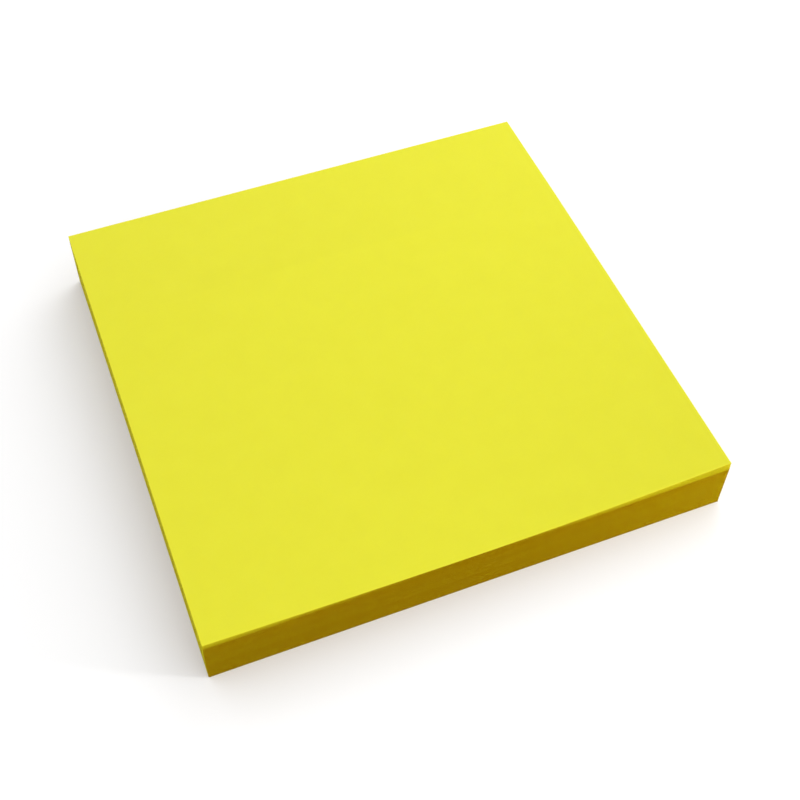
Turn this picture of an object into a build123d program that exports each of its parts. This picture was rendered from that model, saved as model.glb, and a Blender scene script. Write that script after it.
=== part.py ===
from build123d import *
import os

# A sticky note pad lying flat: square notes that are stuck to each other along their back edge,
# on a bare backing sheet. Sizes are in millimetres. The origin is on the surface under the
# middle of the pad. +X runs along the free front edge, +Y to the gummed back edge, +Z is up.

# The notes
note_width = 76.0  # along the front and back edges
note_depth = 76.0  # from the front edge to the back edge
note_count = 100
paper_thickness = 0.08
gum_thickness = 0.021  # the coat of low-tack gum under each note
gum_strip_depth = 19.0  # how far the gum reaches in from the back edge
corner_lift = 1.4  # rise of the two free corners over the middle of the front edge

# The bare sheet that covers the last note's gum
backing_thickness = 0.12

# Places across the depth of the pad
back_y = note_depth / 2
gum_end_y = back_y - gum_strip_depth
front_y = -note_depth / 2

# Heights over the surface that the pad lies on
half_width = note_width / 2
stack_base = backing_thickness
gummed_top = stack_base + note_count * (paper_thickness + gum_thickness)
front_middle_top = stack_base + note_count * paper_thickness
front_corner_top = front_middle_top + corner_lift

os.makedirs("parts", exist_ok=True)


# The block of notes. Their gum spaces them out behind, so that the block is thickest and level
# over the gummed strip. In front they lie paper on paper, and their free corners curl up.
with BuildPart() as note_block:
    for gummed_y in (back_y, gum_end_y):
        with BuildSketch(Plane.XZ.offset(-gummed_y)):
            with BuildLine():
                Polyline(
                    (-half_width, gummed_top),
                    (-half_width, stack_base),
                    (half_width, stack_base),
                    (half_width, gummed_top),
                    close=True,
                )
            make_face()
    with BuildSketch(Plane.XZ.offset(-front_y)):
        with BuildLine():
            Polyline(
                (-half_width, front_corner_top),
                (-half_width, stack_base),
                (half_width, stack_base),
                (half_width, front_corner_top),
            )
            ThreePointArc(
                (half_width, front_corner_top),
                (0, front_middle_top),
                (-half_width, front_corner_top),
            )
        make_face()
    loft(ruled=True)

note_block.part.label = "note_block"
export_step(note_block.part, "parts/note_block.step")


# The backing sheet, cut with the notes: it lies under them and hangs on the last note's gum.
with BuildPart() as backing_sheet:
    with BuildSketch():
        Rectangle(note_width, note_depth)
    extrude(amount=backing_thickness)

backing_sheet.part.label = "backing_sheet"
export_step(backing_sheet.part, "parts/backing_sheet.step")
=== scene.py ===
import bpy
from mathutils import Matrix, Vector


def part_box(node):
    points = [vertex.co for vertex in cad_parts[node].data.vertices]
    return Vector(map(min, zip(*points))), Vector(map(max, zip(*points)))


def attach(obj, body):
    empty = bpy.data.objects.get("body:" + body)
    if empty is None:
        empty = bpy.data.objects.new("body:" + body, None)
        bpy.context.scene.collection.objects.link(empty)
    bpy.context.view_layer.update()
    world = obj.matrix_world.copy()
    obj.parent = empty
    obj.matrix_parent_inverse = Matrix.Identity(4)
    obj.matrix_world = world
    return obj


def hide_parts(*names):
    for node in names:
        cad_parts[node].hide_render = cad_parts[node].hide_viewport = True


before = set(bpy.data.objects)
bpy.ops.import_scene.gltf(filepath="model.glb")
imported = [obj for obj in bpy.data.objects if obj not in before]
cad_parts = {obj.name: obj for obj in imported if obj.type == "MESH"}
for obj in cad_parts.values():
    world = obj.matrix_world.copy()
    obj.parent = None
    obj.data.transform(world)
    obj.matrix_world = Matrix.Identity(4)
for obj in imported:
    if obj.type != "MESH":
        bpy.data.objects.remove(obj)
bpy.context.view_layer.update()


# The backing sheet
# One bare sheet of smooth, calendered release paper, dark honey yellow and a little glossy. Its
# dark tone is partly the paper's own colour and partly painted shade along the base of the pad.
# It covers the gum of the last note, is cut with the notes and stays on until that note is used.

mm = 0.001


class Wire:
    """An output socket. Arithmetic on wires and numbers adds Math nodes to the wire's tree."""

    def __init__(self, socket):
        self.socket = socket

    @staticmethod
    def node(tree, kind, settings=None, sockets=None, output=0):
        """Adds a node: its settings, then a value or a wire for each input. Returns an output."""
        made = tree.nodes.new(kind)
        for name, value in (settings or {}).items():
            setattr(made, name, value)
        for name, value in (sockets or {}).items():
            if isinstance(value, Wire):
                tree.links.new(value.socket, made.inputs[name])
            else:
                made.inputs[name].default_value = value
        return Wire(made.outputs[output]) if made.outputs else None

    def other(self, output):
        """Another output of the same node."""
        return Wire(self.socket.node.outputs[output])

    def math(self, operation, *operands, clamp=False):
        settings = {"operation": operation, "use_clamp": clamp}
        return Wire.node(
            self.socket.id_data, "ShaderNodeMath", settings, dict(enumerate(operands))
        )

    def __add__(self, number):
        return self.math("ADD", self, number)

    def __sub__(self, number):
        return self.math("SUBTRACT", self, number)

    def __rsub__(self, number):
        return self.math("SUBTRACT", number, self)

    def __mul__(self, number):
        return self.math("MULTIPLY", self, number)

    def __truediv__(self, number):
        return self.math("DIVIDE", self, number)

    def __pow__(self, number):
        return self.math("POWER", self, number)

    def __gt__(self, number):
        return self.math("GREATER_THAN", self, number)

    def __lt__(self, number):
        return self.math("LESS_THAN", self, number)

    def __abs__(self):
        return self.math("ABSOLUTE", self)

    def clamped(self):
        return self.math("ADD", self, 0.0, clamp=True)

    def rounded(self):
        return self.math("ROUND", self)

    __radd__ = __add__


def new_material(name):
    material = bpy.data.materials.new(name)
    material.use_nodes = True
    material.node_tree.nodes.clear()
    return material, material.node_tree


def finish(tree, sockets):
    """The shader that the material ends in."""
    surface = Wire.node(tree, "ShaderNodeBsdfPrincipled", {}, sockets)
    Wire.node(tree, "ShaderNodeOutputMaterial", {}, {"Surface": surface})


def noise(tree, scale, detail, stretch=(1, 1, 1)):
    """Noise on the object's own coordinates, with so many spots to the metre."""
    place = Wire.node(tree, "ShaderNodeTexCoord", output="Object")
    place = Wire.node(tree, "ShaderNodeMapping", {}, {"Vector": place, "Scale": stretch})
    sockets = {"Vector": place, "Scale": scale, "Detail": detail}
    return Wire.node(tree, "ShaderNodeTexNoise", {}, sockets)


def between(tree, share, first, second):
    """A colour between two colours."""
    sockets = {0: share, 6: first, 7: second}
    return Wire.node(tree, "ShaderNodeMix", {"data_type": "RGBA"}, sockets, output=2)


def bump(tree, height, depth, strength):
    sockets = {"Strength": strength, "Distance": depth, "Height": height}
    return Wire.node(tree, "ShaderNodeBump", {}, sockets)


def release_paper():
    material, tree = new_material("honey_release_paper")
    cloud = noise(tree, 350, 4)
    fibre = noise(tree, 3000, 3)
    finish(tree, {
        # dark honey: partly the release paper's own colour, partly painted contact shade along the base
        "Base Color": between(tree, cloud, (0.18, 0.130, 0.010, 1), (0.24, 0.180, 0.018, 1)),
        "Roughness": 0.34 + cloud * 0.14,
        "Normal": bump(tree, fibre, 0.01 * mm, 0.3),
        "Specular IOR Level": 0.4,
    })
    return material


backing_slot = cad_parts["backing_sheet"].material_slots[0]
backing_slot.link = "OBJECT"
backing_slot.material = release_paper()


# The notes
# A hundred square sheets of thin paper, dyed bright yellow right through and cut as one block by
# a guillotine. They are gummed together along the back edge. In front they lie loose, with a
# little air between them. Their free corners curl up, and the last few notes part there.

note_count = 100
paper_thickness = 0.074 * mm  # of the bare paper, so less than the pitch of the notes
front_pitch = 0.080 * mm  # from one note to the next at the front edge, air included
gum_strip_depth = 19 * mm
least_air = 0.5  # the least air between two notes, against a chance part of up to 1
curled_count = 8  # how many of the last notes part at their corners
curl_growth = 2.1  # power by which that parting grows towards the top note
block_share = 0.4  # share of the corners' lift that all notes take together
left_share = 0.45  # how far the left corners are curled, as a share of the right ones
lean = 0.15 * mm  # how far the top note lies to the right of the bottom one
stray = 0.002 * mm  # how far single notes lie off the block's faces
drift = 0.008 * mm  # how far the block's faces wander over many notes
drift_pace = 0.07  # how far that wandering moves on from one note to the next
batch_pace = 0.3  # how far the tone of the cut edges moves on from one note to the next
# The cut edges get painted light where the notes part, standing in for light entering the gaps. A gap
# this wide gives the full painted light, and the top note's edge gets a share of it without any gap.
gap_for_full_painted_light = 0.19 * mm  # a gap this wide lets the cut edges look fully light
top_edge_painted_light = 0.5  # how much of that lightness the top note's edge has by itself
turn = 0.00005  # the most that a note is turned, in radians

block_low, block_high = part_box("note_block")
block_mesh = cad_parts["note_block"].data
front_heights = [v.co.z for v in block_mesh.vertices if v.co.y < block_low.y + 0.01 * mm]
gummed_pitch = (block_high.z - block_low.z) / note_count
corner_lift = max(front_heights) - block_low.z - note_count * front_pitch


def yellow_paper():
    """The flat faces: matt, with a fine tooth and a faint clouding from the paper machine."""
    material, tree = new_material("bright_yellow_paper")
    cloud = noise(tree, 240, 3)
    fibre = noise(tree, 2800, 4)
    tone = cloud * 0.6 + fibre * 0.4
    finish(tree, {
        "Base Color": between(tree, tone, (0.687, 0.660, 0.021, 1), (0.734, 0.711, 0.029, 1)),
        "Roughness": 0.52 + fibre * 0.16,
        "Normal": bump(tree, fibre, 0.02 * mm, 0.25),
        "Specular IOR Level": 0.25,
        "Subsurface Weight": 0.5,
        "Subsurface Radius": (1.0, 0.85, 0.15),
        "Subsurface Scale": 0.12 * mm,
    })
    return material


def cut_edge():
    """The cut faces: rough; amber and darkened with painted shade where the notes lie together,
    lightened with painted light where they part.
    """
    material, tree = new_material("guillotined_paper_edge")

    def stored(name):
        return Wire.node(tree, "ShaderNodeAttribute", {"attribute_name": name}, output="Fac")

    number = stored("note_number")
    # painted light on the cut edges where the notes part
    painted_gap_light = stored("painted_gap_light")
    own_number = number.rounded()
    line = {"noise_dimensions": "1D"}
    own_tone = Wire.node(tree, "ShaderNodeTexWhiteNoise", line, {"W": own_number})
    batch = {"W": own_number * batch_pace, "Scale": 1.0, "Detail": 2.0}
    batch_tone = Wire.node(tree, "ShaderNodeTexNoise", line, batch)
    fibre = noise(tree, 6000, 3)
    knife_marks = noise(tree, 900, 3, stretch=(1, 1, 0.06))
    tone = own_tone * 0.35 + batch_tone * 0.45 + fibre * 0.1 + knife_marks * 0.1
    # painted shade: these dark ambers stand for the shade in the narrow gaps between the notes, on top
    # of the paper's own deeper edge colour
    pressed_edge_with_painted_shade = between(tree, tone, (0.112, 0.056, 0.0002, 1), (0.222, 0.115, 0.0003, 1))
    # painted light: the light colour that the cut edges take where the notes part
    loose = (0.34, 0.22, 0.002, 1)
    finish(tree, {
        "Base Color": between(tree, painted_gap_light, pressed_edge_with_painted_shade, loose),
        "Roughness": 0.9,
        "Normal": bump(tree, fibre + knife_marks, 0.01 * mm, 0.15),
        "Specular IOR Level": 0.0,
    })
    return material


def named_inputs(tree, kind, values):
    for name, value in values.items():
        socket = tree.interface.new_socket(name, in_out="INPUT", socket_type=kind)
        socket.default_value = value


def stack_tree(face_material, edge_material):
    """Geometry nodes that lay the notes up, each a closed sheet, and curl their free corners."""
    tree = bpy.data.node_groups.new("stack_of_notes", "GeometryNodeTree")
    tree.is_modifier = True
    tree.interface.new_socket("Geometry", in_out="OUTPUT", socket_type="NodeSocketGeometry")
    named_inputs(tree, "NodeSocketInt", {
        "Notes": note_count,
        "First note": 0,
        "Last note": note_count - 1,
        "Columns": 9,
        "Rows": 5,
        "Seed": 7,
    })
    named_inputs(tree, "NodeSocketFloat", {
        "Width": block_high.x - block_low.x,
        "Depth": block_high.y - block_low.y,
        "Paper thickness": paper_thickness,
        "Front pitch": front_pitch,
        "Gummed pitch": gummed_pitch,
        "Gum strip depth": gum_strip_depth,
        "Base height": block_low.z,
        "Corner lift": corner_lift,
        "Left share": left_share,
        "Curled notes": curled_count,
        "Curl growth": curl_growth,
        "Block share": block_share,
        "Lean": lean,
        "Stray": stray,
        "Drift": drift,
        "Turn": turn,
        "Edge share of map": 0.96,
    })
    given = tree.nodes.new("NodeGroupInput")

    def size(name):
        return Wire(given.outputs[name])

    def node(kind, settings=None, sockets=None, output=0):
        return Wire.node(tree, kind, settings, sockets, output)

    def vector(x=0.0, y=0.0, z=0.0):
        return node("ShaderNodeCombineXYZ", {}, {"X": x, "Y": y, "Z": z})

    def parts_of(wire):
        x = node("ShaderNodeSeparateXYZ", {}, {"Vector": wire})
        return x, x.other("Y"), x.other("Z")

    def store(geometry, name, value, domain="POINT", data_type="FLOAT"):
        settings = {"data_type": data_type, "domain": domain}
        sockets = {"Geometry": geometry, "Name": name, "Value": value}
        return node("GeometryNodeStoreNamedAttribute", settings, sockets)

    def stored(name):
        return node("GeometryNodeInputNamedAttribute", {"data_type": "FLOAT"}, {"Name": name})

    notes = size("Notes")
    thickness = size("Paper thickness")
    depth = size("Depth")
    width = size("Width")

    # One point for each note, with its number and its share of the air under the loose fronts
    index = node("GeometryNodeInputIndex")
    points = node("GeometryNodeMeshLine", {}, {"Count": notes, "Offset": (0, 0, 0)})
    plane = {"noise_dimensions": "2D"}
    chance = node("ShaderNodeTexWhiteNoise", plane, {"Vector": vector(index, size("Seed"))})
    air = node("GeometryNodeAccumulateField", {}, {"Value": chance * chance + least_air})
    points = store(points, "note_number", index)
    points = store(points, "air_share", air / air.other("Total"))
    outside = (index < size("First note")) + (index > size("Last note"))
    points = node("GeometryNodeDeleteGeometry", {"domain": "POINT"},
                  {"Geometry": points, "Selection": outside})

    # The sheets, all at one place
    extent = vector(width, depth, thickness)
    sheet = node("GeometryNodeMeshCube", {},
                 {"Size": extent, "Vertices X": size("Columns"), "Vertices Y": size("Rows")})
    sheets = node("GeometryNodeInstanceOnPoints", {}, {"Points": points, "Instance": sheet})
    sheets = node("GeometryNodeRealizeInstances", {}, {"Geometry": sheets})
    x, y, z = parts_of(node("GeometryNodeInputPosition"))
    number = stored("note_number")

    # A map for textures that gives the cut edges most of the room: a row for each edge, side by
    # side, and over them one patch that all the flat faces share
    facing = node("GeometryNodeFieldOnDomain", {"domain": "FACE", "data_type": "FLOAT_VECTOR"},
                  {"Value": node("GeometryNodeInputNormal")})
    facing_x, facing_y, facing_z = parts_of(facing)
    flat = abs(facing_z) > 0.5
    sideways = abs(facing_x) > 0.5
    side = sideways * (2.0 + (facing_x > 0.0)) + (1.0 - sideways) * (facing_y > 0.0)
    along = sideways * (y / depth) + (1.0 - sideways) * (x / width) + 0.5
    mapped = size("Last note") - size("First note") + 1.0
    row_fill = 0.7
    patch_fill = 0.8
    margin = 0.005
    row = side * mapped + number - size("First note") + 0.5 + z / thickness * row_fill
    edge_share = size("Edge share of map")
    row_height = edge_share / (mapped * 4.0)
    patch = edge_share + (1.0 - edge_share) * (0.5 + y / depth * patch_fill)
    v = flat * patch + (1.0 - flat) * row * row_height
    sheets = store(sheets, "OFBake", vector(along * (1.0 - 2 * margin) + margin, v), "CORNER", "FLOAT2")

    # How far the free corners of each note are curled up, and how far it parts from the one below
    free = 1.0 - ((y + depth * 0.5) / (depth - size("Gum strip depth"))).clamped()
    across = x / width * 2.0
    corner = (x > 0.0) * (1.0 - size("Left share")) + size("Left share")
    curl_place = size("Corner lift") * corner * across * across * free
    curled = size("Curled notes")
    first_curled = notes - 1.0 - curled
    own_curl = ((number - first_curled) / curled).clamped() ** size("Curl growth")
    curl_below = ((number - 1.0 - first_curled) / curled).clamped() ** size("Curl growth")
    block_curl = number / (notes - 1.0) * size("Block share")
    single_share = 1.0 - size("Block share")
    is_top = number > notes - 1.5
    gap = curl_place * (own_curl - curl_below) * single_share
    # painted light on the cut edges, growing with the gap under each note, plus some on the top note's
    # edge
    painted_gap_light = (gap / gap_for_full_painted_light + is_top * top_edge_painted_light).clamped()
    sheets = store(sheets, "painted_gap_light", painted_gap_light)

    # Where each point of each note goes
    spare = notes * (size("Front pitch") - thickness)
    loose_z = number * thickness + spare * stored("air_share")
    gummed_z = (number + 1.0) * size("Gummed pitch") - thickness
    height = (size("Base height") + thickness * 0.5 + z
              + loose_z * free + gummed_z * (1.0 - free)
              + curl_place * (block_curl + own_curl * single_share))
    seeded = vector(number, size("Seed"), 1.0)
    chances = node("ShaderNodeTexWhiteNoise", {"noise_dimensions": "3D"}, {"Vector": seeded}, "Color")
    chance_x, chance_y, chance_turn = parts_of(chances)
    slow_place = vector(number * drift_pace, size("Seed"))
    slow = node("ShaderNodeTexNoise", {"noise_dimensions": "2D"},
                {"Vector": slow_place, "Scale": 1.0, "Detail": 0.0}, "Color")
    slow_x, slow_y = parts_of(slow)[:2]
    angle = (chance_turn - 0.5) * size("Turn") * 2.0
    move_x = (size("Lean") * (number / (notes - 1.0) - 0.5)
              + (chance_x - 0.5) * size("Stray") * 2.0
              + (slow_x - 0.5) * size("Drift") * 2.0
              - angle * y)
    move_y = ((chance_y - 0.5) * size("Stray") * 2.0
              + (slow_y - 0.5) * size("Drift") * 2.0
              + angle * x)
    place = vector(x + move_x, y + move_y, height)
    sheets = node("GeometryNodeSetPosition", {}, {"Geometry": sheets, "Position": place})
    sheets = node("GeometryNodeRemoveAttribute", {}, {"Geometry": sheets, "Name": "air_share"})

    # The flat faces are smooth paper, and the cut faces round them are edges
    bend = node("GeometryNodeInputMeshEdgeAngle")
    sheets = node("GeometryNodeSetShadeSmooth", {"domain": "EDGE"},
                  {"Geometry": sheets, "Selection": bend > 0.5, "Shade Smooth": False})
    normal_z = parts_of(node("GeometryNodeInputNormal"))[2]
    sheets = node("GeometryNodeSetMaterial", {}, {"Geometry": sheets, "Material": face_material})
    sheets = node("GeometryNodeSetMaterial", {},
                  {"Geometry": sheets, "Selection": abs(normal_z) < 0.5, "Material": edge_material})
    node("NodeGroupOutput", {}, {"Geometry": sheets})
    return tree


def grown(name, tree, changes):
    """A plain mesh object of what the tree makes with these inputs changed."""
    holder = bpy.data.objects.new(name + "_holder", bpy.data.meshes.new(name + "_holder"))
    bpy.context.scene.collection.objects.link(holder)
    modifier = holder.modifiers.new("grow", "NODES")
    modifier.node_group = tree
    for socket in tree.interface.items_tree:
        if socket.name in changes:
            modifier[socket.identifier] = changes[socket.name]
    depsgraph = bpy.context.evaluated_depsgraph_get()
    mesh = bpy.data.meshes.new_from_object(holder.evaluated_get(depsgraph))
    bpy.data.objects.remove(holder)
    mesh.name = name
    mesh.materials.pop(index=0)  # the primitive's empty slot
    piece = bpy.data.objects.new(name, mesh)
    bpy.context.scene.collection.objects.link(piece)
    return piece


stack = stack_tree(yellow_paper(), cut_edge())
top_number = note_count - 1
first_curled = note_count - curled_count
flat_notes = grown("flat_notes", stack, {"Last note": first_curled - 1})
curled_notes = grown("curled_notes", stack, {
    "First note": first_curled,
    "Last note": top_number - 1,
    "Columns": 33,
    "Rows": 17,
    "Edge share of map": 0.5,
})
top_note = grown("top_note", stack, {
    "First note": top_number,
    "Columns": 65,
    "Rows": 33,
    "Edge share of map": 0.06,
})
for piece in (flat_notes, curled_notes, top_note):
    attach(piece, "root")
    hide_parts("note_block")


# The gum
# A thin coat of low-tack gum under the back strip of each note. It holds the notes a little
# further apart there than they lie in front, and stops just short of the cut faces.

gum_clearance = 0.003 * mm
gum_inset = 0.4 * mm


def gum():
    material, tree = new_material("low_tack_gum")
    beads = noise(tree, 9000, 2)
    finish(tree, {
        "Base Color": between(tree, beads, (0.62, 0.55, 0.16, 1), (0.70, 0.64, 0.24, 1)),
        "Roughness": 0.3 + beads * 0.2,
        "Normal": bump(tree, beads, 0.01 * mm, 0.5),
    })
    return material


def gum_tree(material):
    """Geometry nodes that lay one coat of gum under each note."""
    tree = bpy.data.node_groups.new("coats_of_gum", "GeometryNodeTree")
    tree.is_modifier = True
    tree.interface.new_socket("Geometry", in_out="OUTPUT", socket_type="NodeSocketGeometry")
    named_inputs(tree, "NodeSocketInt", {"Coats": note_count})
    named_inputs(tree, "NodeSocketFloat", {
        "Width": block_high.x - block_low.x - 2 * gum_inset,
        "Depth": gum_strip_depth - gum_inset,
        "Thickness": gummed_pitch - paper_thickness - 2 * gum_clearance,
        "Pitch": gummed_pitch,
        "Middle": block_high.y - gum_inset - (gum_strip_depth - gum_inset) / 2,
        "Lowest": block_low.z + (gummed_pitch - paper_thickness) / 2,
    })
    given = tree.nodes.new("NodeGroupInput")

    def size(name):
        return Wire(given.outputs[name])

    def vector(x, y, z):
        return Wire.node(tree, "ShaderNodeCombineXYZ", {}, {"X": x, "Y": y, "Z": z})

    start = vector(0.0, size("Middle"), size("Lowest"))
    points = Wire.node(tree, "GeometryNodeMeshLine", {}, {
        "Count": size("Coats"),
        "Start Location": start,
        "Offset": vector(0.0, 0.0, size("Pitch")),
    })
    extent = vector(size("Width"), size("Depth"), size("Thickness"))
    coat = Wire.node(tree, "GeometryNodeMeshCube", {}, {"Size": extent})
    coats = Wire.node(tree, "GeometryNodeInstanceOnPoints", {}, {"Points": points, "Instance": coat})
    coats = Wire.node(tree, "GeometryNodeRealizeInstances", {}, {"Geometry": coats})
    coats = Wire.node(tree, "GeometryNodeSetMaterial", {}, {"Geometry": coats, "Material": material})
    Wire.node(tree, "NodeGroupOutput", {}, {"Geometry": coats})
    return tree


gum_coats = grown("gum_coats", gum_tree(gum()), {})
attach(gum_coats, "root")
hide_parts("note_block")


# The studio
# A plain white floor in soft light: an even white surround, a large, weak lamp above the pad,
# behind on the right, and a small one low down in front on the right.

floor_half = 2.0


def white_floor():
    material, tree = new_material("white_floor")
    finish(tree, {
        "Base Color": (0.98, 0.98, 0.98, 1),
        "Roughness": 0.9,
        "Specular IOR Level": 0.0,
    })
    return material


floor_mesh = bpy.data.meshes.new("floor")
floor_corners = [(-1, -1), (1, -1), (1, 1), (-1, 1)]
floor_mesh.from_pydata(
    [(floor_half * x, floor_half * y, 0) for x, y in floor_corners], [], [(0, 1, 2, 3)]
)
floor_mesh.materials.append(white_floor())
floor = bpy.data.objects.new("floor", floor_mesh)
bpy.context.scene.collection.objects.link(floor)

surround = bpy.data.worlds.new("surround")
surround.use_nodes = True
surround.node_tree.nodes["Background"].inputs["Color"].default_value = (1, 1, 1, 1)
surround.node_tree.nodes["Background"].inputs["Strength"].default_value = 1.0
bpy.context.scene.world = surround


def turned_to(place, target):
    return (Vector(target) - Vector(place)).to_track_quat("-Z", "Y").to_euler()


def lamp(name, place, size, power):
    light = bpy.data.lights.new(name, "AREA")
    light.shape = "DISK"
    light.size = size
    light.energy = power
    holder = bpy.data.objects.new(name, light)
    holder.location = place
    holder.rotation_euler = turned_to(place, (0, 0, 0))
    holder.visible_camera = False
    holder.visible_glossy = False
    bpy.context.scene.collection.objects.link(holder)


lamp("high_lamp", (0.09, 0.13, 0.11), 0.16, 0.080)
lamp("low_lamp", (0.21, -0.15, 0.025), 0.04, 0.74)

camera_place = (-42.22 * mm, -117.84 * mm, 157.61 * mm)
camera_target = (0.60 * mm, -7.78 * mm, 5.0 * mm)
camera_data = bpy.data.cameras.new("camera")
camera_data.lens = 58.7
camera_data.clip_start = 0.01
camera_data.clip_end = 20
camera = bpy.data.objects.new("camera", camera_data)
camera.location = camera_place
camera.rotation_euler = turned_to(camera_place, camera_target)
bpy.context.scene.collection.objects.link(camera)
bpy.context.scene.camera = camera
bpy.context.scene.view_settings.view_transform = "Standard"
